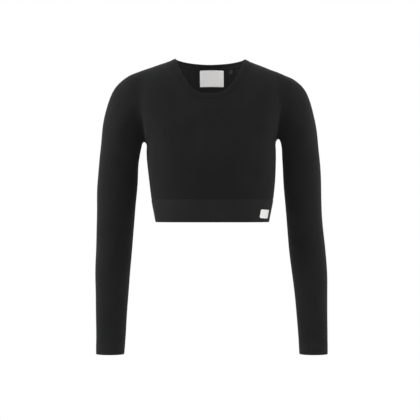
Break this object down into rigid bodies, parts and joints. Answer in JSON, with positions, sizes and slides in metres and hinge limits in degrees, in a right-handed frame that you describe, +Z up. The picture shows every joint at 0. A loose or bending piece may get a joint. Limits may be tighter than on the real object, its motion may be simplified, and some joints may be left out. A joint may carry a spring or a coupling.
{
  "type": "long-sleeve crop top",
  "caption": "Fine-knit long-sleeve crop top in its worn form: round neck with a narrow band, set-in sleeves, deep hem band, hollow body and arms.",
  "frame": {"origin": "midway between the two high shoulder points, beside the neck, where the garment hangs from the wearer's shoulders", "axes": "+Z up along the wearer's height, +X towards the wearer's left, so the front faces -Y"},
  "size_m": [0.4994, 0.2103, 0.6318],
  "materials": {
    "cloth": "matte",
    "white_tape": "matte",
    "dark_tape": "matte"
  },
  "bodies": {
    "root": {"front_panel": "cloth", "back_panel": "cloth", "sleeve_left": "cloth", "sleeve_right": "cloth", "neckband": "cloth", "hem_band": "cloth", "neck_label": "white_tape", "size_tab": "dark_tape", "hem_tag": "white_tape"}
  },
  "joints": []
}
